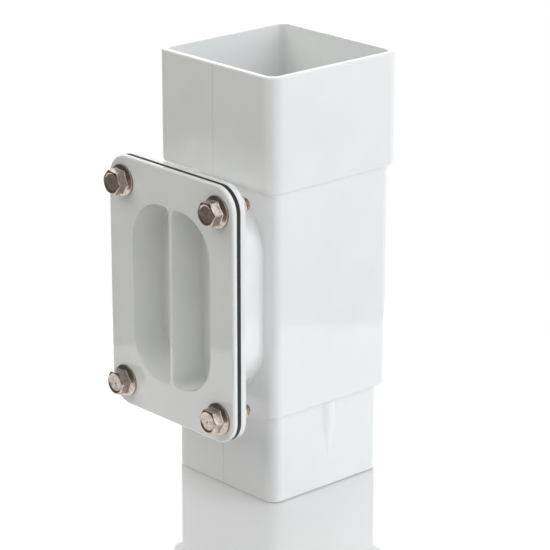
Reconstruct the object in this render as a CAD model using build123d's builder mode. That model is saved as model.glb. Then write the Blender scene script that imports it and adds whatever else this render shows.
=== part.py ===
from build123d import *
import os
from math import cos, radians, tan

# Access pipe for a square rainwater downpipe, in millimetres.
# The pipe's axis is +Z, and the origin is the middle of the spigot's lower end.
# The bolted access cover looks towards -Y, and +X is to its right.

# Spigot, body and socket of the pipe, from the bottom up
pipe_width = 65.0  # outside of the square downpipe, and so of the spigot
pipe_corner = 5.5
spigot_length = 40.8
spigot_wall = 2.2
spigot_end_round = 0.4
body_length = 100.7
body_step = 2.6  # how far the body stands out from the spigot, on every side
body_corner = 5.4
body_wall = 3.3
body_foot_round = 0.7
socket_length = 51.6
socket_step = 2.45  # how far the socket stands out from the body, on every side
socket_corner = 6.7
socket_foot_round = 3.7
socket_root_round = 1.2  # hollow rounding below it, where the socket meets the body
socket_reach = 48.0  # how deep a pipe pushes into the socket
socket_fit = 0.8  # gap beside that pipe, at the socket's floor
rim_wall = 3.2
rim_outer_round = 0.9
rim_inner_round = 0.4

# Tapered ribs that take up the play of the spigot in the next socket
rib_width = 7.2
rib_height = 0.8
rib_shift = 0.75  # from the pipe's axis to the rib's middle, away from the cover
rib_length = 26.0
rib_drop = 0.4  # from the body's step down to the rib's upper end
rib_lead = 0.8  # length of the short slope at that end
rib_taper = 16.0  # from the lower tip up to where the rib has its full width
rib_end_share = 0.12  # width and height left at the tip, and height left at the upper end
rib_waist_share = 0.7  # height left where the full width begins

# Access opening: neck and flange of the pipe
access_centre = 94.0  # height of the opening's middle
flange_reach = 57.8  # from the pipe's axis to the flange's face
flange_thickness = 2.8
flange_edge_round = 0.5
neck_wall = 1.7
neck_root_round = 0.7
plug_clearance = 0.35  # between the cover's plug and the neck, on every side

# Access cover: a plate with a deep plug, hollowed into two cells
cover_width = 81.0
cover_height = 114.0
cover_corner = 11.0
plate_thickness = 2.2
plate_front_round = 1.0
recess_width = 51.0
recess_height = 80.0
recess_corner = 19.0
recess_depth = 17.5
recess_mouth_round = 0.5
recess_floor_round = 0.8
mould_draft = 1.0  # degrees, on the walls that leave the mould in a straight pull
divider_width = 1.9  # thin wall between the two cells, flush with the plate
cell_corner = 3.0  # where a cell's end meets the divider
plug_wall = 1.7
plug_floor = 2.0
plug_end_round = 1.2

# Gasket of sheet rubber
gasket_thickness = 2.0
gasket_gap = 0.8  # from the plug to the gasket's opening

# M6 flange bolts, 16 mm long, with plain hexagon nuts
bolt_inset_x = 9.5  # from the cover's edge to the bolts, sideways
bolt_inset_z = 11.0  # the same, from the top and bottom edges
bolt_diameter = 6.0
bolt_length = 16.0
bolt_tip_chamfer = 0.7
bolt_hole = 6.6
nut_bore_gap = 0.05  # stands for the thread's running clearance
across_flats = 10.0
head_height = 6.7
crown_inset = 0.25  # how far the turned end of a hexagon stays inside its flats
crown_slope = 30.0  # degrees
head_dish_radius = 4.5
head_dish_depth = 0.4
head_dish_slope = 68.0  # degrees
collar_diameter = 14.2
collar_edge = 1.0
collar_slope = 1.0  # rise of the collar's cone, from its edge to the hexagon
nut_height = 5.0
nut_countersink = 0.5
# How far a flat of each hexagon is turned up from +X, in degrees
bolt_turns = {"top_left": 22.0, "top_right": 35.0, "bottom_left": 38.0, "bottom_right": 29.0}
nut_turns = {"top_left": 40.0, "top_right": 28.0, "bottom_left": 12.0, "bottom_right": 34.0}

# Sizes that follow from those above
body_width = pipe_width + 2 * body_step
socket_width = body_width + 2 * socket_step
body_foot = spigot_length
funnel_top = body_foot + body_wall
socket_foot = body_foot + body_length
pipe_top = socket_foot + socket_length
socket_floor = pipe_top - socket_reach
spigot_bore = pipe_width - 2 * spigot_wall
body_bore = body_width - 2 * body_wall
socket_floor_width = pipe_width + 2 * socket_fit
socket_mouth_width = socket_width - 2 * rim_wall
draft_slope = tan(radians(mould_draft))
rib_top = body_foot - rib_drop
rib_sections = (  # height, then the shares of the width and of the height
    (rib_top - rib_length, rib_end_share, rib_end_share),
    (rib_top - rib_length + rib_taper, 1, rib_waist_share),
    (rib_top - rib_lead, 1, 1),
    (rib_top, 1, rib_end_share),
)

cover_face = flange_reach + gasket_thickness + plate_thickness
cover_back = flange_reach + gasket_thickness
flange_back = flange_reach - flange_thickness
plug_grow = 2 * (plug_wall - plate_thickness * draft_slope)
plug_width = recess_width + plug_grow
plug_height = recess_height + plug_grow
plug_corner = recess_corner + plug_grow / 2
plug_length = recess_depth + plug_floor - plate_thickness
neck_bore_width = plug_width + 2 * plug_clearance
neck_bore_height = plug_height + 2 * plug_clearance
neck_bore_corner = plug_corner + plug_clearance
neck_width = neck_bore_width + 2 * neck_wall
neck_height = neck_bore_height + 2 * neck_wall
neck_start = (body_width - body_wall) / 2  # the neck is rooted in the middle of the body's wall
gasket_opening_width = plug_width + 2 * gasket_gap
gasket_opening_height = plug_height + 2 * gasket_gap
bolt_pitch_x = cover_width - 2 * bolt_inset_x
bolt_pitch_z = cover_height - 2 * bolt_inset_z

hex_radius = across_flats / 2
hex_corner_radius = hex_radius / cos(radians(30))
crown_radius = hex_radius - crown_inset
crown_drop = (hex_corner_radius - crown_radius) * tan(radians(crown_slope))
collar_radius = collar_diameter / 2
bolt_radius = bolt_diameter / 2


def access_plane(reach):
    """Upright plane at a distance in front of the pipe's axis, facing -Y, centred on the opening."""
    return Plane(origin=(0, -reach, access_centre), x_dir=(1, 0, 0), z_dir=(0, -1, 0))


def square(width, corner):
    """Rounded square across the pipe."""
    return RectangleRounded(width, width, corner)


def bolt_places():
    """Name, x and z of each bolt, seen from the front."""
    for row, up in (("top", 1), ("bottom", -1)):
        for side, right in (("left", -1), ("right", 1)):
            yield f"{row}_{side}", right * bolt_pitch_x / 2, access_centre + up * bolt_pitch_z / 2


def edges_level_with(piece, y):
    """The piece's edges that lie in the upright plane at y."""
    return piece.edges().filter_by_position(Axis.Y, y - 0.01, y + 0.01)


os.makedirs("parts", exist_ok=True)

# Pipe body, one moulding
with BuildPart() as pipe_body:
    # The socket's block comes first, so that its wide foot rounding runs out inside the body's wall
    with BuildSketch(Plane.XY.offset(socket_foot)):
        square(socket_width, socket_corner)
    extrude(amount=socket_length)
    fillet(pipe_body.edges().group_by(Axis.Z)[0], radius=socket_foot_round)
    fillet(pipe_body.edges().group_by(Axis.Z)[-1], radius=rim_outer_round)

    with BuildSketch(Plane.XY.offset(body_foot)):
        square(body_width, body_corner)
    extrude(amount=body_length + socket_foot_round)
    fillet(pipe_body.edges(Select.NEW), radius=socket_root_round)
    fillet(pipe_body.edges().group_by(Axis.Z)[0], radius=body_foot_round)

    with BuildSketch():
        square(pipe_width, pipe_corner)
    extrude(amount=body_foot + body_wall)

    # Ribs on the two sides of the spigot, thickest just under the step
    for side in (-1, 1):
        face = side * pipe_width / 2
        root = side * (pipe_width - spigot_wall) / 2
        for height, width_share, height_share in rib_sections:
            back = rib_shift + width_share * rib_width / 2
            front = rib_shift - width_share * rib_width / 2
            crest = face + side * height_share * rib_height
            with BuildSketch(Plane.XY.offset(height)):
                with BuildLine():
                    Polyline((face, back), (root, back), (root, front), (face, front))
                    ThreePointArc((face, front), (crest, rib_shift), (face, back))
                make_face()
        loft(ruled=True)

    # Flange and neck of the access opening
    with BuildSketch(access_plane(flange_back)):
        RectangleRounded(cover_width, cover_height, cover_corner)
    extrude(amount=flange_thickness)
    fillet(pipe_body.faces().sort_by(Axis.Y)[0].edges(), radius=flange_edge_round)

    with BuildSketch(access_plane(neck_start)):
        RectangleRounded(neck_width, neck_height, neck_bore_corner + neck_wall)
    extrude(amount=flange_back - neck_start)
    for wall_y in (-flange_back, -body_width / 2):
        roots = edges_level_with(pipe_body, wall_y)
        roots = roots.filter_by(lambda edge: abs(edge.center().X) <= neck_width / 2)
        roots = roots.filter_by(lambda edge: abs(edge.center().Z - access_centre) <= neck_height / 2)
        fillet(roots, radius=neck_root_round)

    # Waterway: spigot, a short funnel, body, and the socket that narrows towards its floor
    with BuildSketch():
        square(spigot_bore, pipe_corner - spigot_wall)
    extrude(amount=body_foot, mode=Mode.SUBTRACT)
    with BuildSketch(Plane.XY.offset(body_foot)):
        square(spigot_bore, pipe_corner - spigot_wall)
    with BuildSketch(Plane.XY.offset(funnel_top)):
        square(body_bore, body_corner - body_wall)
    loft(mode=Mode.SUBTRACT)
    with BuildSketch(Plane.XY.offset(funnel_top)):
        square(body_bore, body_corner - body_wall)
    extrude(amount=socket_floor - funnel_top, mode=Mode.SUBTRACT)
    with BuildSketch(Plane.XY.offset(socket_floor)):
        square(socket_floor_width, socket_corner - rim_wall)
    with BuildSketch(Plane.XY.offset(pipe_top)):
        square(socket_mouth_width, socket_corner - rim_wall)
    loft(mode=Mode.SUBTRACT)

    # Access hole through the flange, the neck and the body's front wall
    with BuildSketch(access_plane(flange_reach)):
        RectangleRounded(neck_bore_width, neck_bore_height, neck_bore_corner)
    extrude(amount=body_bore / 2 - flange_reach - body_wall / 2, mode=Mode.SUBTRACT)

    with Locations(access_plane(flange_reach)):
        with GridLocations(bolt_pitch_x, bolt_pitch_z, 2, 2):
            Hole(bolt_hole / 2, depth=flange_thickness)

    fillet(pipe_body.faces().sort_by(Axis.Z)[-1].inner_wires().edges(), radius=rim_inner_round)
    fillet(pipe_body.faces().sort_by(Axis.Z)[0].outer_wire().edges(), radius=spigot_end_round)

pipe_body.part.label = "pipe_body"
export_step(pipe_body.part, "parts/pipe_body.step")

# Access cover, one moulding: a plate, and a plug that fills the neck
with BuildPart() as access_cover:
    with BuildSketch(access_plane(cover_back)):
        RectangleRounded(cover_width, cover_height, cover_corner)
    extrude(amount=plate_thickness)
    fillet(access_cover.faces().sort_by(Axis.Y)[0].edges(), radius=plate_front_round)

    with BuildSketch(access_plane(cover_back)):
        RectangleRounded(plug_width, plug_height, plug_corner)
    extrude(amount=-plug_length, taper=mould_draft)
    fillet(access_cover.faces().sort_by(Axis.Y)[-1].edges(), radius=plug_end_round)

    # The two cells, each with rounded corners beside the divider
    with BuildSketch(access_plane(cover_face)) as cells:
        RectangleRounded(recess_width, recess_height, recess_corner)
        Rectangle(divider_width, recess_height, mode=Mode.SUBTRACT)
        beside_divider = cells.vertices().filter_by(lambda corner: abs(corner.X) < divider_width)
        fillet(beside_divider, radius=cell_corner)
    extrude(amount=-recess_depth, taper=mould_draft, mode=Mode.SUBTRACT)
    front = access_cover.faces().sort_by(Axis.Y)[0]
    fillet(front.inner_wires().edges(), radius=recess_mouth_round)
    fillet(edges_level_with(access_cover, recess_depth - cover_face), radius=recess_floor_round)

    with Locations(access_plane(cover_face)):
        with GridLocations(bolt_pitch_x, bolt_pitch_z, 2, 2):
            Hole(bolt_hole / 2, depth=plate_thickness)

access_cover.part.label = "access_cover"
export_step(access_cover.part, "parts/access_cover.step")

# Gasket, cut from sheet rubber to the flange's outline
with BuildPart() as gasket:
    with BuildSketch(access_plane(flange_reach)):
        RectangleRounded(cover_width, cover_height, cover_corner)
        opening_corner = plug_corner + gasket_gap
        RectangleRounded(gasket_opening_width, gasket_opening_height, opening_corner, mode=Mode.SUBTRACT)
        with GridLocations(bolt_pitch_x, bolt_pitch_z, 2, 2):
            Circle(bolt_hole / 2, mode=Mode.SUBTRACT)
    extrude(amount=gasket_thickness)

gasket.part.label = "gasket"
export_step(gasket.part, "parts/gasket.step")

# Bolts and nuts, one pair at each corner of the cover
for name, x, z in bolt_places():
    seat = Plane(origin=(x, -cover_face, z), x_dir=(1, 0, 0), z_dir=(0, -1, 0))
    bolt_axis = Axis(seat.origin, seat.z_dir)
    head_profile = Plane(origin=seat.origin, x_dir=(1, 0, 0), z_dir=(0, 0, 1))

    # Head: a hexagon with its corners turned off and a shallow dish, on a sloping collar
    with BuildPart() as bolt:
        with BuildSketch(seat):
            RegularPolygon(hex_radius, 6, major_radius=False, rotation=bolt_turns[name] - 30)
        extrude(amount=head_height)
        with BuildSketch(head_profile):
            with BuildLine():
                Polyline(
                    (0, 0),
                    (hex_corner_radius, 0),
                    (hex_corner_radius, crown_drop - head_height),
                    (crown_radius, -head_height),
                    (0, -head_height),
                    close=True,
                )
            make_face()
        revolve(axis=bolt_axis, mode=Mode.INTERSECT)
        with BuildSketch(seat.offset(head_height)):
            Circle(head_dish_radius)
        extrude(amount=-head_dish_depth, taper=head_dish_slope, mode=Mode.SUBTRACT)
        with BuildSketch(head_profile):
            with BuildLine():
                Polyline(
                    (0, 0),
                    (collar_radius, 0),
                    (collar_radius, -collar_edge),
                    (hex_radius, -collar_edge - collar_slope),
                    (0, -collar_edge - collar_slope),
                    close=True,
                )
            make_face()
        revolve(axis=bolt_axis)
        with BuildSketch(seat):
            Circle(bolt_radius)
        extrude(amount=-bolt_length)
        chamfer(bolt.edges().sort_by(Axis.Y)[-1], length=bolt_tip_chamfer)

    bolt.part.label = f"bolt_{name}"
    export_step(bolt.part, f"parts/bolt_{name}.step")

    nut_seat = Plane(origin=(x, -flange_back, z), x_dir=(1, 0, 0), z_dir=(0, 1, 0))
    nut_profile = Plane(origin=nut_seat.origin, x_dir=(1, 0, 0), z_dir=(0, 0, 1))

    # Nut: a hexagon with the corners of both ends turned off
    with BuildPart() as nut:
        with BuildSketch(nut_seat):
            RegularPolygon(hex_radius, 6, major_radius=False, rotation=30 - nut_turns[name])
            Circle(bolt_radius + nut_bore_gap, mode=Mode.SUBTRACT)
        extrude(amount=nut_height)
        with BuildSketch(nut_profile):
            with BuildLine():
                Polyline(
                    (0, 0),
                    (crown_radius, 0),
                    (hex_corner_radius, crown_drop),
                    (hex_corner_radius, nut_height - crown_drop),
                    (crown_radius, nut_height),
                    (0, nut_height),
                    close=True,
                )
            make_face()
        revolve(axis=Axis(nut_seat.origin, nut_seat.z_dir), mode=Mode.INTERSECT)
        bore_rims = nut.edges().filter_by(GeomType.CIRCLE).sort_by(SortBy.RADIUS)[:2]
        chamfer(bore_rims, length=nut_countersink)

    nut.part.label = f"nut_{name}"
    export_step(nut.part, f"parts/nut_{name}.step")
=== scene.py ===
# %% [markdown]
# # A downpipe access pipe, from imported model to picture
# The real object is a moulded white pipe piece for rainwater, with a bolted cover on its front.
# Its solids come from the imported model, which already has every size right. They could be built
# again here, but then two models would have to agree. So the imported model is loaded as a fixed
# frame, and this script adds only what a solid can't hold: finishes, fine threads, moulding
# marks, light, a floor and a camera.

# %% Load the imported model
from math import cos, pi, radians, sin, tan, tau

import bpy
from mathutils import Matrix, Vector


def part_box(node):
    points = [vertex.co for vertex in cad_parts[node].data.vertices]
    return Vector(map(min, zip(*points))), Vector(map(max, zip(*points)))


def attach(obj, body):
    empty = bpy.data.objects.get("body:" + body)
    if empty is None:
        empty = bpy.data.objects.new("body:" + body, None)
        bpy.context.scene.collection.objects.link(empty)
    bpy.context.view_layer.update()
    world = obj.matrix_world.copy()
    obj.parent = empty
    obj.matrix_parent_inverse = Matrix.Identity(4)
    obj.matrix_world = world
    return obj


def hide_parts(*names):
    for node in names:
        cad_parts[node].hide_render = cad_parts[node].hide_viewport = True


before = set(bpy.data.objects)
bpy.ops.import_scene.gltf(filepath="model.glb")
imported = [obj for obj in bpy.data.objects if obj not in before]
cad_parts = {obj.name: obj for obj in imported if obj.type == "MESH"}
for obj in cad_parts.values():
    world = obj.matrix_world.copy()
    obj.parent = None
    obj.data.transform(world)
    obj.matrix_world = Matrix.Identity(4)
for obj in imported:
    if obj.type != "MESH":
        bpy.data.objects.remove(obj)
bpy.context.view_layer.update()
print("CAD nodes:", sorted(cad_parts))

# %% [markdown]
# ## Sizes
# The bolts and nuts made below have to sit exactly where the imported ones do. Their places could be
# typed in again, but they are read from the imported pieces, so that nothing is fitted by eye. The
# boxes of the cover, a bolt and a nut say where a head sits, how long its bolt is, and where the
# thread comes out at the back.

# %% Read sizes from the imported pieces
MM = 0.001
CORNERS = ("top_left", "top_right", "bottom_left", "bottom_right")


def middle(node):
    """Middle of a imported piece's box."""
    low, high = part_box(node)
    return (low + high) / 2


pipe_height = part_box("pipe_body")[1].z
cover_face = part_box("access_cover")[0].y
bolt_low, bolt_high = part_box("bolt_top_left")
nut_low, nut_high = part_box("nut_top_left")
head_height = cover_face - bolt_low.y
bolt_length = bolt_high.y - cover_face
nut_seat = nut_low.y
nut_height = nut_high.y - nut_low.y
print(f"head {head_height / MM:.1f} mm high, shank {bolt_length / MM:.1f} mm long")
print(f"nut {nut_height / MM:.1f} mm high, pipe {pipe_height / MM:.1f} mm high")

# %% [markdown]
# ## Shader maths
# A finish is worked out from a few patterns: noise for the grain, a distance for a line. Joining
# nodes by hand in code takes three lines for each sum, and the formula can't be read any more.
# A small class that wraps a node's output and overloads the usual signs keeps it readable:
# `0.2 + 0.1 * grain` adds its own Math nodes.

# %% Wrap a node's output, so that expressions add Math nodes


class Value:
    """Output of a shader node, used in an expression like a number."""

    def __init__(self, nodes, socket):
        self.nodes = nodes
        self.socket = socket

    def math(self, operation, first, second):
        """Adds one Math node."""
        return self.nodes.add("ShaderNodeMath", {"operation": operation}, {0: first, 1: second})

    def __add__(self, other):
        return self.math("ADD", self, other)

    def __radd__(self, other):
        return self.math("ADD", other, self)

    def __sub__(self, other):
        return self.math("SUBTRACT", self, other)

    def __rsub__(self, other):
        return self.math("SUBTRACT", other, self)

    def __mul__(self, other):
        return self.math("MULTIPLY", self, other)

    def __rmul__(self, other):
        return self.math("MULTIPLY", other, self)


print("signs that add Math nodes: + - *")

# %% [markdown]
# ## Every other node
# The other nodes come from one method, `add`. It takes the node's type, then its settings, then
# the values or links of its sockets. The settings go first, because some of them change which
# sockets a node has. Colours are mixed in a Mix node and directions in Vector Math, because a Math
# node would turn them grey.

# %% Add nodes to a material or to the world


class Nodes:
    """The nodes of one material, or of the world."""

    def __init__(self, tree):
        self.tree = tree

    def add(self, kind, settings=None, inputs=None, output=0):
        """Adds a node: first its settings, then the values or links of its sockets."""
        node = self.tree.nodes.new(kind)
        for name, value in (settings or {}).items():
            setattr(node, name, value)
        for name, value in (inputs or {}).items():
            self.feed(node.inputs[name], value)
        return Value(self, node.outputs[output])

    def feed(self, socket, value):
        """Gives a socket a link or a plain value."""
        if isinstance(value, Value):
            self.tree.links.new(value.socket, socket)
        else:
            socket.default_value = value

    def mix(self, share, first, second):
        """Colour between two others."""
        node = self.tree.nodes.new("ShaderNodeMix")
        node.data_type = "RGBA"
        sockets = [socket for socket in node.inputs if socket.enabled]
        for socket, value in zip(sockets, (share, first, second)):
            self.feed(socket, value)
        return Value(self, next(socket for socket in node.outputs if socket.enabled))

    def band(self, value, low, high, start=0.0, end=1.0):
        """Goes smoothly from start to end, while value goes from low to high."""
        sockets = {"Value": value, "From Min": low, "From Max": high, "To Min": start, "To Max": end}
        return self.add("ShaderNodeMapRange", {"interpolation_type": "SMOOTHSTEP"}, sockets)

    def without_sign(self, value):
        """How far a value is from zero, either way."""
        return self.add("ShaderNodeMath", {"operation": "ABSOLUTE"}, {0: value})

    def light_path(self, ray):
        """1 for rays of one kind, such as those that leave the camera."""
        return self.add("ShaderNodeLightPath", output=ray)


print("node helpers: add, feed, mix, band, without_sign, light_path")

# %% [markdown]
# ## A new finish
# Every finish here is one Principled shader. What is the same all over is set on the shader's own
# socket, because a baked copy of the model reads it from there. What varies is linked: colour,
# roughness, and a bump for the grain. All patterns are read at the object's own coordinates, in
# metres, so a scratch keeps its real size on every piece.

# %% Start a finish with its fixed values
SCRATCH_WIDTH = 0.006


class Finish(Nodes):
    """A material with one Principled shader, and patterns read in metres."""

    def __init__(self, name, **fixed):
        self.material = bpy.data.materials.new(name)
        self.material.use_nodes = True
        super().__init__(self.material.node_tree)
        self.shader = self.tree.nodes["Principled BSDF"]
        for socket, value in fixed.items():
            self.shader.inputs[socket.replace("_", " ")].default_value = value
        self.place = self.add("ShaderNodeTexCoord", output="Object")
        print("finish:", name)

    def noise(self, size, detail=2.0, stretch=(1.0, 1.0, 1.0)):
        """Soft noise from 0 to 1, with spots about as wide as size, in metres."""
        scale = [share / size for share in stretch]
        place = self.add("ShaderNodeVectorMath", {"operation": "MULTIPLY"}, {0: self.place, 1: scale})
        return self.add("ShaderNodeTexNoise", inputs={"Vector": place, "Scale": 1.0, "Detail": detail})

    def scratches(self, size, stretch):
        """Thin lines, where stretched noise crosses its middle: 1 on a line and 0 beside it."""
        away = self.without_sign(self.noise(size, detail=1.0, stretch=stretch) - 0.5)
        return self.band(away, 0.0, SCRATCH_WIDTH, 1.0, 0.0)

    def drive(self, **varying):
        """Links what varies over the surface to the shader."""
        for socket, value in varying.items():
            self.feed(self.shader.inputs[socket.replace("_", " ")], value)

    def bump(self, *heights):
        """Raises the surface by each height, a pattern and its full height in metres."""
        normal = None
        for pattern, height in heights:
            sockets = {"Height": pattern, "Distance": height, "Strength": 1.0}
            if normal is not None:
                sockets["Normal"] = normal
            normal = self.add("ShaderNodeBump", inputs=sockets)
        self.feed(self.shader.inputs["Normal"], normal)


print("a scratch covers", SCRATCH_WIDTH, "of the noise on each side of its middle")

# %% [markdown]
# ## The mould's witness line
# The two halves of the mould meet along the middle of the front and the back, and leave a witness
# line there. It could be a ridge in the mesh, but it is finer than any edge worth modelling. So it
# is a pattern, found from the object's own coordinates: x near zero, and y at one of the outside
# faces of spigot, body or socket. It ends where the neck of the access opening begins.

# %% Find the witness line
SPIGOT_FACE = 32.5 * MM
BODY_FACE = 35.1 * MM
SPIGOT_END = 40.8 * MM
STEP_FADE = 0.2 * MM
NECK_FROM = 38.5 * MM
NECK_FADE = 0.5 * MM
LINE_FULL = 0.1 * MM
LINE_EDGE = 0.26 * MM
FACE_FROM = 0.5 * MM
FACE_FULL = 0.3 * MM


def witness_line(finish):
    """1 along the middle of the front and back of the pipe's outside, and 0 elsewhere."""
    sideways, depth, up = (
        finish.add("ShaderNodeSeparateXYZ", inputs={"Vector": finish.place}, output=axis) for axis in "XYZ"
    )
    reach = finish.without_sign(depth)
    on_line = finish.band(finish.without_sign(sideways), LINE_FULL, LINE_EDGE, 1.0, 0.0)
    on_body = finish.band(reach, BODY_FACE - FACE_FROM, BODY_FACE - FACE_FULL)
    below_step = finish.band(up, SPIGOT_END, SPIGOT_END + STEP_FADE, 1.0, 0.0)
    on_spigot = finish.band(reach, SPIGOT_FACE - FACE_FROM, SPIGOT_FACE - FACE_FULL) * below_step
    outside = finish.add("ShaderNodeMath", {"operation": "MAXIMUM"}, {0: on_body, 1: on_spigot})
    before_neck = finish.band(reach, NECK_FROM, NECK_FROM + NECK_FADE, 1.0, 0.0)
    return on_line * outside * before_neck


print(f"witness line {2 * LINE_EDGE / MM:.2f} mm wide with its soft edges")

# %% [markdown]
# ## Moulded PVC
# Rainwater fittings are injection moulded in PVC with a polished mould, so they are glossy white
# with almost no grain. A plain white shader would look like paint on paper. What makes the real one
# read as plastic is small: the gloss isn't even, the surface waves slightly over a few millimetres,
# where it cooled, and handling leaves hairline scratches, here and there. All of that varies
# roughness and bump. The colour itself moves by less than three percent, and only the witness line
# takes a little grey, which is painted shade of the shallow groove that its bump cuts.

# %% Make the PVC
PVC_WHITE = (0.915, 0.92, 0.915, 1.0)
PVC_SHADE = (0.89, 0.90, 0.895, 1.0)
# The grey along the witness line is painted shade of its shallow groove, stronger in some places than in
# others.
PAINTED_LINE_SHADE = (0.42, 0.42, 0.41, 1.0)
LINE_SHADE_SHARE = 0.3
POLISH = 0.03
HAIRLINE_STRETCH = (1.0, 1.0, 0.12)
LINE_STRENGTH_STRETCH = (1.0, 1.0, 0.5)
SHADE_BAND = (0.35, 0.7)
HANDLED_BAND = (0.52, 0.66)
LINE_STRENGTH_BAND = (0.25, 0.6)
LINE_STRENGTH_LEAST = 0.4

pvc = Finish("white_pvc", IOR=1.53)
flow = pvc.noise(30 * MM, detail=3.0)
cooling = pvc.noise(7 * MM, detail=1.0)
grain = pvc.noise(0.5 * MM)
handled = pvc.band(pvc.noise(14 * MM), *HANDLED_BAND)
hairlines = pvc.scratches(9 * MM, HAIRLINE_STRETCH) * handled
line_strength = pvc.band(pvc.noise(11 * MM, stretch=LINE_STRENGTH_STRETCH), *LINE_STRENGTH_BAND, LINE_STRENGTH_LEAST, 1.0)
# The witness line's groove is a bump, and its shade is painted into the colour as grey; both fade along
# the line.
witness = witness_line(pvc) * line_strength
plain = pvc.mix(pvc.band(flow, *SHADE_BAND), PVC_WHITE, PVC_SHADE)
pvc.drive(
    Base_Color=pvc.mix(LINE_SHADE_SHARE * witness, plain, PAINTED_LINE_SHADE),
    Roughness=POLISH + 0.03 * flow + 0.02 * grain + 0.12 * hairlines,
)
pvc.bump((cooling, 0.012 * MM), (grain, 0.0012 * MM), (hairlines, -0.002 * MM), (witness, -0.02 * MM))
print("nodes in the PVC:", len(pvc.tree.nodes))

# %% [markdown]
# ## Sheet rubber
# The gasket is punched from black sheet, and only its cut edge shows. Flat black would do from far
# away, but cut rubber is matt and a little rough across the cut, with pale dust in its pores. Two
# noises give both: one for the pores, and one that is stretched across the cut.

# %% Make the rubber
RUBBER_BLACK = (0.012, 0.012, 0.013, 1.0)
RUBBER_DUST = (0.035, 0.034, 0.032, 1.0)
RUBBER_MATT = 0.62
CUT_STRETCH = (1.0, 0.15, 1.0)
DUST_BAND = (0.55, 0.75)

rubber = Finish("black_rubber", IOR=1.5)
pores = rubber.noise(0.35 * MM, detail=3.0)
cut = rubber.noise(0.5 * MM, detail=1.0, stretch=CUT_STRETCH)
rubber.drive(
    Base_Color=rubber.mix(rubber.band(pores, *DUST_BAND), RUBBER_BLACK, RUBBER_DUST),
    Roughness=RUBBER_MATT + 0.15 * pores,
)
rubber.bump((pores, 0.02 * MM), (cut, 0.03 * MM))
print("nodes in the rubber:", len(rubber.tree.nodes))

# %% [markdown]
# ## Stainless steel
# The bolts and nuts are cold formed from stainless wire and tumbled, so they are bright, slightly
# warm grey, and mottled rather than brushed. A mirror-smooth metal would pick up the studio too
# cleanly. Two noises break it up: a broad one for the tumbling, and fine pits.

# %% Make the steel
STEEL_PALE = (0.47, 0.41, 0.365, 1.0)
STEEL_BROWN = (0.33, 0.275, 0.235, 1.0)
STEEL_POLISH = 0.14
BROWN_BAND = (0.35, 0.68)

steel = Finish("stainless_steel", Metallic=1.0)
tumbled = steel.noise(1.6 * MM, detail=3.0)
pits = steel.noise(0.22 * MM)
steel.drive(
    Base_Color=steel.mix(steel.band(tumbled, *BROWN_BAND), STEEL_PALE, STEEL_BROWN),
    Roughness=STEEL_POLISH + 0.12 * tumbled + 0.08 * pits,
)
steel.bump((tumbled, 0.02 * MM), (pits, 0.006 * MM))
print("nodes in the steel:", len(steel.tree.nodes))

# %% [markdown]
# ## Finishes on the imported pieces
# The pipe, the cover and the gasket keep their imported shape, which is the moulded shape. They could
# be rebuilt as meshes, but nothing would be gained. So they only swap the plain colour they came
# with for the new finish.

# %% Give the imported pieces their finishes
for node, finish in (("pipe_body", pvc), ("access_cover", pvc), ("gasket", rubber)):
    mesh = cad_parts[node].data
    mesh.materials.clear()
    mesh.materials.append(finish.material)
    print(node, "is now", finish.material.name)

# %% [markdown]
# ## Grids round an axis
# Bolts and nuts are turned about an axis, with a hexagon and a helix on them. A lathe can't make
# those, and cutting them with booleans leaves ragged edges. But both can be written as one
# radius for each angle and height, so each piece is a grid of rings: a function gives the outline
# at one angle, and the grid joins the outlines of all angles. A bolt's ends are closed with one
# flat face each, and a nut's outline is a closed ring. Heights go up towards the bolt's head,
# which is -Y on the object.

# %% Build a mesh from outlines at each angle
ANGLES = 144


def turned_piece(name, outline, centre, seat, ring=False):
    """Mesh of the outlines (radius, height) round an axis that leaves the seat towards -Y."""
    points = []
    for step in range(ANGLES):
        angle = tau * step / ANGLES
        for radius, height in outline(angle):
            x = centre.x + radius * cos(angle)
            z = centre.z + radius * sin(angle)
            points.append((x, seat - height, z))
    rows = len(points) // ANGLES
    faces = []
    for step in range(ANGLES):
        here = step * rows
        there = (step + 1) % ANGLES * rows
        for row in range(rows if ring else rows - 1):
            after = (row + 1) % rows
            faces.append((here + row, here + after, there + after, there + row))
    if not ring:
        faces.append([step * rows for step in reversed(range(ANGLES))])
        faces.append([step * rows + rows - 1 for step in range(ANGLES)])
    mesh = bpy.data.meshes.new(name)
    mesh.from_pydata(points, [], faces)
    mesh.materials.append(steel.material)
    for face in mesh.polygons:
        face.use_smooth = True
    piece = bpy.data.objects.new(name, mesh)
    bpy.context.scene.collection.objects.link(piece)
    print(name, len(faces), "faces")
    return piece


print("outlines round each bolt and nut:", ANGLES)

# %% [markdown]
# ## Hexagon and thread
# A cold-formed hexagon has slightly rounded corners. Taking the smallest of the six flats' radii at
# each angle would leave them razor sharp, and a soft minimum rounds them instead. The turned-off
# ends of a hexagon are a cone that joins the same soft minimum. A thread is a radius too: it
# depends on how far the height and the angle together have gone through one pitch.

# %% Write the hexagon and the thread as radii
HALF_FLATS = 5 * MM
HEX_SOFTNESS = 46
MINOR_RADIUS = 2.39 * MM
MAJOR_RADIUS = 2.96 * MM
PITCH = 1 * MM
ROOT_SHARE = 0.2
FLANK_SHARE = 0.65


def hexagon(angle, turn, limit=None):
    """Radius of a hexagon with soft corners, under a round limit where there is one."""
    sides = sum(max(0.0, cos(angle - turn - side * tau / 6)) ** HEX_SOFTNESS for side in range(6))
    inverse = sides / HALF_FLATS**HEX_SOFTNESS
    if limit is not None:
        inverse += limit**-HEX_SOFTNESS
    return inverse ** (-1 / HEX_SOFTNESS)


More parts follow.
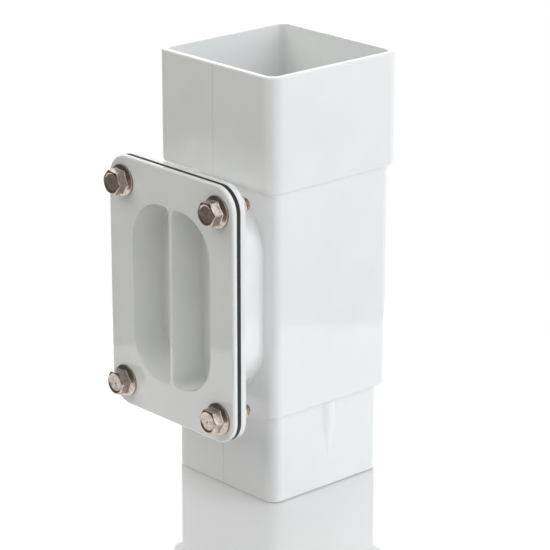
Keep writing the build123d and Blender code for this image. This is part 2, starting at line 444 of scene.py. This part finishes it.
def thread(angle, height):
    """Radius of a right-hand M6 thread: straight flanks, a flat crest and a flat root."""
    phase = (height / PITCH - angle / tau) % 1
    rise = (0.5 - abs(phase - 0.5)) * 2
    share = min(1.0, max(0.0, (rise - ROOT_SHARE) / FLANK_SHARE))
    return MINOR_RADIUS + (MAJOR_RADIUS - MINOR_RADIUS) * share


print(f"hexagon {2 * HALF_FLATS / MM:.0f} mm across flats, thread pitch {PITCH / MM:.0f} mm")

# %% [markdown]
# ## A bolt's head
# Each head is cold formed in one piece with its bolt: a hexagon with a shallow dish in its end, on
# a sloping collar that presses on the cover. The outline goes from the middle of the dish over the
# rim and the crown, which is turned off at 30 degrees, down one flat, and bends out into the
# collar. It could stop dead at the collar, but a small hollow rounding there catches the light as
# the real one does.

# %% Draw one head's outline
CAP_RADIUS = 0.3 * MM
DISH_MIDDLE_RADIUS = 1.8 * MM
DISH_FLOOR_RADIUS = 3.5 * MM
DISH_RIM_RADIUS = 4.5 * MM
DISH_DEPTH = 0.4 * MM
DISH_STEPS = 8
CROWN_RADIUS = 4.75 * MM
CROWN_TAN = tan(radians(30))
CROWN_DEPTH = 2.2 * MM
CROWN_STEPS = 24
EDGE_ROUND = 0.18 * MM
COLLAR_RADIUS = 7.1 * MM
COLLAR_EDGE = 1 * MM
COLLAR_TAN = 1 / 2.1
ROOT_ROUND = 0.45 * MM
ROOT_RISE = 1.2
ROOT_STEPS = 6


def ramp(start, end, steps):
    """Evenly spaced values from start to end."""
    return [start + (end - start) * step / steps for step in range(steps + 1)]


def head_outline(angle, turn):
    """The dish, the end face, the crown and one flat of the head, down to the collar."""
    dish_floor = head_height - DISH_DEPTH
    outline = [(CAP_RADIUS, dish_floor), (DISH_MIDDLE_RADIUS, dish_floor)]
    for share in ramp(0.0, 1.0, DISH_STEPS):
        radius = DISH_FLOOR_RADIUS + (DISH_RIM_RADIUS - DISH_FLOOR_RADIUS) * share
        rise = share**2 * (3 - 2 * share)
        outline.append((radius, head_height - DISH_DEPTH * (1 - rise)))
    for share in ramp(0.0, 1.0, CROWN_STEPS):
        drop = share**2 * CROWN_DEPTH
        rounding = EDGE_ROUND * (1 - min(1.0, drop / EDGE_ROUND)) ** 2
        limit = CROWN_RADIUS + drop / CROWN_TAN - rounding
        outline.append((hexagon(angle, turn, limit), head_height - drop))
    flat_radius = hexagon(angle, turn)
    foot = COLLAR_EDGE + (COLLAR_RADIUS - flat_radius) * COLLAR_TAN
    for bend in ramp(0.0, 1.0, ROOT_STEPS):
        out = ROOT_ROUND * bend**2
        above = ROOT_ROUND * (1 - bend) ** 2 * ROOT_RISE
        outline.append((flat_radius + out, foot + above - out * COLLAR_TAN))
    return outline


print(f"head {head_height / MM:.1f} mm high on a collar {2 * COLLAR_RADIUS / MM:.1f} mm wide")

# %% [markdown]
# ## A whole bolt
# Below the head come the collar's rounded edge and its flat underside, a plain shank through the
# cover, the gasket and the flange, and an M6 thread whose last turns show behind the nut. The
# packed bolt has the same sizes with a plain shank. This one replaces it, because a thread can't be
# laid over a cylinder that is already as thick as its crests.

# %% Draw a whole bolt's outline
SHANK_RADIUS = 2.9 * MM
TIP_CHAMFER = 0.7 * MM
POINTS_PER_PITCH = 14
COLLAR_STEPS = 5
THREAD_FROM = -(nut_seat + nut_height - cover_face) + PITCH


def bolt_outline(turn):
    """Outline of a whole bolt, as a function of the angle."""

    def outline(angle):
        points = head_outline(angle, turn)
        for bend in ramp(0.0, pi / 2, COLLAR_STEPS):
            inward = EDGE_ROUND * (1 - sin(bend))
            downward = EDGE_ROUND * (1 - cos(bend))
            points.append((COLLAR_RADIUS - inward, COLLAR_EDGE - downward + inward * COLLAR_TAN))
        points += [(COLLAR_RADIUS, EDGE_ROUND), (COLLAR_RADIUS - EDGE_ROUND, 0.0)]
        points += [(SHANK_RADIUS, 0.0), (SHANK_RADIUS, THREAD_FROM + PITCH)]
        steps = int((bolt_length + THREAD_FROM) / PITCH * POINTS_PER_PITCH)
        for height in ramp(THREAD_FROM, -bolt_length, steps):
            to_tip = height + bolt_length
            limit = MAJOR_RADIUS - max(0.0, TIP_CHAMFER - to_tip)
            points.append((min(thread(angle, height), limit), height))
        points.append((CAP_RADIUS, -bolt_length))
        return points

    return outline


print(f"the thread starts {-THREAD_FROM / MM:.1f} mm below the head, inside the nut")

# %% [markdown]
# ## Turning the heads
# Whoever tightened the bolts left each head turned a little differently. Equal heads would look
# stamped on. The angle says how far a flat is turned up from the side that faces +X.

# %% Make the bolts
HEAD_TURNS = {"top_left": 22, "top_right": 35, "bottom_left": 38, "bottom_right": 29}

for corner in CORNERS:
    outline = bolt_outline(radians(HEAD_TURNS[corner]))
    bolt = turned_piece(f"threaded_bolt_{corner}", outline, middle(f"bolt_{corner}"), cover_face)
    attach(bolt, "root")
    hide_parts(f"bolt_{corner}")

# %% [markdown]
# ## Nuts
# A nut is the same hexagon, with both ends turned off and a countersunk bore. Its thread can't be
# seen, so the bore is a plain one just outside the bolt's crests, and the two don't cut through
# each other. The nuts are turned differently too.

# %% Make the nuts
NUT_TURNS = {"top_left": 40, "top_right": 28, "bottom_left": 12, "bottom_right": 34}
NUT_CROWN = 4.7 * MM
BORE_RADIUS = 3.03 * MM
COUNTERSINK = 0.5 * MM
NUT_STEPS = 40


def nut_outline(turn):
    """Outline of a nut, as a function of the angle: a closed ring."""

    def outline(angle):
        bore = [(BORE_RADIUS + COUNTERSINK, 0.0), (BORE_RADIUS, -COUNTERSINK)]
        bore += [(BORE_RADIUS, COUNTERSINK - nut_height), (BORE_RADIUS + COUNTERSINK, -nut_height)]
        outside = []
        for share in ramp(0.0, 1.0, NUT_STEPS):
            height = -nut_height * (1 - share)
            to_end = min(-height, height + nut_height)
            limit = NUT_CROWN + to_end / CROWN_TAN
            outside.append((hexagon(angle, turn, limit), height))
        return bore + outside

    return outline


for corner in CORNERS:
    outline = nut_outline(radians(NUT_TURNS[corner]))
    nut = turned_piece(f"formed_nut_{corner}", outline, middle(f"nut_{corner}"), nut_seat, ring=True)
    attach(nut, "root")
    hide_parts(f"nut_{corner}")

# %% [markdown]
# ## Floor plate
# The pipe stands on a glossy white sheet. It could be a huge plane, but its far edge would meet the
# white backdrop in a grey line. So it is a round plate that fades out before its rim. A cut end
# never lies quite flat, so the plate is about half a millimetre lower than the spigot's end, and a
# hairline of shade shows under the pipe.

# %% Lay the floor plate
FLOOR_RADIUS = 0.24
FLOOR_POINTS = 96
FLOOR_DROP = 0.45 * MM

floor_rim = []
for point in range(FLOOR_POINTS):
    angle = tau * point / FLOOR_POINTS
    floor_rim.append((FLOOR_RADIUS * cos(angle), FLOOR_RADIUS * sin(angle), -FLOOR_DROP))
floor_mesh = bpy.data.meshes.new("floor")
floor_mesh.from_pydata(floor_rim, [], [list(range(FLOOR_POINTS))])
floor_piece = bpy.data.objects.new("floor", floor_mesh)
bpy.context.scene.collection.objects.link(floor_piece)
print("floor plate, radius", FLOOR_RADIUS, "m")

# %% [markdown]
# ## Glossy white sheet
# Under the pipe the sheet shows a soft mirror image of it, which a matt floor would lose. So the
# sheet is a mirror over a pale ground, weak from above and strong at a flat angle, as clear acrylic
# is. Three things keep it white without more light on the object. The camera, and nothing else,
# sees it fade into the backdrop. The camera also sees a little glow on it. And gloss on the object
# sees a stronger glow, because a white sheet is bright in the pipe's polished sides. The object
# itself is lit by the plain ground.

# %% Finish the floor
FLOOR_GREY = (0.70, 0.70, 0.70, 1.0)
FADE_START = 0.14
SHEET_IOR = 1.5
MIRROR_GAIN = 1.95
MIRROR_POLISH = 0.04
FLOOR_GLOW = 0.12
MIRRORED_GLOW = 0.9
MIRROR_WHITE = (1.0, 1.0, 1.0, 1.0)

sheet = Finish("floor_sheet", Roughness=0.6, Base_Color=FLOOR_GREY)
camera_looks = sheet.light_path("Is Camera Ray")
mirrored = sheet.light_path("Is Glossy Ray")
from_middle = sheet.add("ShaderNodeVectorMath", {"operation": "LENGTH"}, {0: sheet.place}, output="Value")
faded = camera_looks * sheet.band(from_middle, FADE_START, FLOOR_RADIUS)
glow_strength = FLOOR_GLOW * camera_looks + MIRRORED_GLOW * mirrored
ground = Value(sheet, sheet.shader.outputs[0])
mirror = sheet.add("ShaderNodeBsdfGlossy", inputs={"Color": MIRROR_WHITE, "Roughness": MIRROR_POLISH})
flatness = sheet.add("ShaderNodeFresnel", inputs={"IOR": SHEET_IOR})
glazed = sheet.add("ShaderNodeMixShader", inputs={0: MIRROR_GAIN * flatness, 1: ground, 2: mirror})
glow = sheet.add("ShaderNodeEmission", inputs={"Strength": glow_strength})
lit = sheet.add("ShaderNodeAddShader", inputs={0: glazed, 1: glow})
clear = sheet.add("ShaderNodeBsdfTransparent")
surface = sheet.add("ShaderNodeMixShader", inputs={0: faded, 1: lit, 2: clear})
sheet.feed(sheet.tree.nodes["Material Output"].inputs["Surface"], surface)
floor_mesh.materials.append(sheet.material)
print("nodes in the floor's sheet:", len(sheet.tree.nodes))

# %% [markdown]
# ## Backdrop and room
# The photograph was taken in front of a lit white backdrop that wraps round both sides, with a
# darker room in front of it, a ceiling, and one very dark patch at the front left, like an open
# door. Cards and walls could be built for that, but the world does it all without anything that
# could stand in another view. Each part of it fades into the next, because a wall far away has no
# sharp edge in the light it gives.

# %% Light the world
FRONT = (-0.30, -0.95, 0.0)
FRONT_BAND = (0.0, 0.55)
DOORWAY = (-0.74, -0.67, 0.0)
DOORWAY_BAND = (0.76, 0.92)
CEILING_BAND = (0.75, 0.92)
GROUND_BAND = (-0.12, -0.02)
BACKDROP = (0.93, 0.95, 0.97, 1.0)
ROOM = (0.14, 0.16, 0.15, 1.0)
DARK = (0.03, 0.028, 0.025, 1.0)
CEILING = (0.03, 0.03, 0.03, 1.0)
GROUND = (0.85, 0.85, 0.86, 1.0)
FRONT_GROUND = (0.35, 0.34, 0.33, 1.0)

world = bpy.data.worlds.new("studio")
world.use_nodes = True
bpy.context.scene.world = world
studio = Nodes(world.node_tree)
looking = studio.add("ShaderNodeTexCoord", output="Generated")
upward = studio.add("ShaderNodeSeparateXYZ", inputs={"Vector": looking}, output="Z")


def towards(direction):
    """How far a ray looks in one direction, from -1 to 1."""
    ends = {0: looking, 1: direction}
    return studio.add("ShaderNodeVectorMath", {"operation": "DOT_PRODUCT"}, ends, output="Value")


in_front = studio.band(towards(FRONT), *FRONT_BAND)
in_doorway = studio.band(towards(DOORWAY), *DOORWAY_BAND)
overhead = studio.band(upward, *CEILING_BAND)
below = studio.band(upward, *GROUND_BAND, 1.0, 0.0)
around = studio.mix(in_front, BACKDROP, ROOM)
under_ceiling = studio.mix(overhead, around, CEILING)
on_ground = studio.mix(in_front, GROUND, FRONT_GROUND)
lights = studio.mix(in_doorway, studio.mix(below, under_ceiling, on_ground), DARK)
print("world:", world.name)

# %% [markdown]
# ## What gloss and camera see
# The gloss of the cover, the pipe and the bolts shows the room itself: the same bright backdrop
# behind and dim room in front, but no ceiling and no doorway, which the photograph's gloss doesn't
# show either. Camera rays and rays through glass see plain white at strength 1 in every direction,
# so the background is white without any more light on the object.

# %% Choose the world by the kind of ray
BACKDROP_SEEN = (0.95, 0.95, 0.95, 1.0)
ROOM_SEEN = (0.14, 0.13, 0.125, 1.0)
GROUND_SEEN = (0.30, 0.28, 0.26, 1.0)
PLAIN_WHITE = (1.0, 1.0, 1.0, 1.0)

in_gloss = studio.mix(in_front, BACKDROP_SEEN, studio.mix(below, ROOM_SEEN, GROUND_SEEN))
surroundings = studio.mix(studio.light_path("Is Glossy Ray"), lights, in_gloss)
seen_directly = studio.light_path("Is Camera Ray") + studio.light_path("Is Transmission Ray")
background = world.node_tree.nodes["Background"]
studio.feed(background.inputs["Color"], studio.mix(seen_directly, surroundings, PLAIN_WHITE))
background.inputs["Strength"].default_value = 1.0
print("nodes in the world:", len(world.node_tree.nodes))

# %% [markdown]
# ## Lamps
# Three wide softboxes stand round the object. Small lamps would give hard shadows across the
# cover. The one at the right makes the right faces bright. The one behind, at the left, lights
# the back of the cover and the inside of the socket. The one high in front lifts the cover's face,
# which otherwise only sees the dark room. It stays out of reflections, because the photograph's
# cover and bolts show no lamp there.

# %% Hang the softboxes
AIM = Vector((0.0, 0.0, pipe_height / 2))
LAMP_DISTANCE = 1.3
LAMP_SIZE = 1.3
KEY_PLACE = (28, 31)
KEY_POWER = 4.9
KEY_COLOUR = (0.95, 0.95, 1.0)
BACK_PLACE = (137, 28)
BACK_POWER = 4.8
BACK_COLOUR = (0.99, 1.0, 1.0)
FRONT_PLACE = (250, 42)
FRONT_POWER = 7.9
FRONT_COLOUR = (1.0, 0.98, 0.94)


def softbox(name, place, power, colour):
    """Square area lamp that looks at the middle of the pipe, from so many degrees round and up."""
    round_angle, rise = (radians(degrees) for degrees in place)
    direction = Vector((cos(round_angle) * cos(rise), sin(round_angle) * cos(rise), sin(rise)))
    lamp = bpy.data.lights.new(name, "AREA")
    lamp.shape = "SQUARE"
    lamp.size = LAMP_SIZE
    lamp.energy = power
    lamp.color = colour
    holder = bpy.data.objects.new(name, lamp)
    bpy.context.scene.collection.objects.link(holder)
    holder.location = AIM + direction * LAMP_DISTANCE
    holder.rotation_euler = direction.to_track_quat("Z", "Y").to_euler()
    print(name, power, "W")
    return holder


softbox("key_softbox", KEY_PLACE, KEY_POWER, KEY_COLOUR)
softbox("back_softbox", BACK_PLACE, BACK_POWER, BACK_COLOUR)
front_softbox = softbox("front_softbox", FRONT_PLACE, FRONT_POWER, FRONT_COLOUR)
front_softbox.visible_glossy = False

# %% [markdown]
# ## Camera
# The photograph's camera was worked out from the straight edges of the pipe: where it stands, which
# way it looks, and its focal length in pixels of a picture 550 pixels wide. It could be placed by
# eye, but then no size in the picture could be trusted. A long lens like this one keeps the upright
# edges almost parallel.

# %% Set up the camera
PICTURE_WIDTH = 550
FOCAL_PIXELS = 2621.6
SENSOR_WIDTH = 36.0
AZIMUTH = radians(47.7729)
ELEVATION = radians(18.7386)
ROLL = radians(0.0446)
TARGET = Vector((0.0, 0.0, 110 * MM))
DISTANCE = 1153.93 * MM
SHIFT_RIGHT = -1.3188 * MM
SHIFT_UP = -18.4799 * MM

back = Vector((sin(AZIMUTH) * cos(ELEVATION), -cos(AZIMUTH) * cos(ELEVATION), sin(ELEVATION)))
level_right = Vector((cos(AZIMUTH), sin(AZIMUTH), 0.0))
level_up = back.cross(level_right)
right = cos(ROLL) * level_right + sin(ROLL) * level_up
up = -sin(ROLL) * level_right + cos(ROLL) * level_up
stand = TARGET + back * DISTANCE + right * SHIFT_RIGHT + up * SHIFT_UP

camera_data = bpy.data.cameras.new("photograph")
camera_data.sensor_width = SENSOR_WIDTH
camera_data.lens = SENSOR_WIDTH * FOCAL_PIXELS / PICTURE_WIDTH
camera = bpy.data.objects.new("photograph", camera_data)
bpy.context.scene.collection.objects.link(camera)
turn = Matrix((right, up, back)).transposed()
camera.matrix_world = Matrix.Translation(stand) @ turn.to_4x4()
bpy.context.scene.camera = camera
print(f"lens {camera_data.lens:.1f} mm, {stand.length:.2f} m away")

# %% [markdown]
# ## Colours
# Other view settings bend bright colours towards grey. Standard shows a colour as it is written.

# %% Finish
bpy.context.scene.view_settings.view_transform = "Standard"
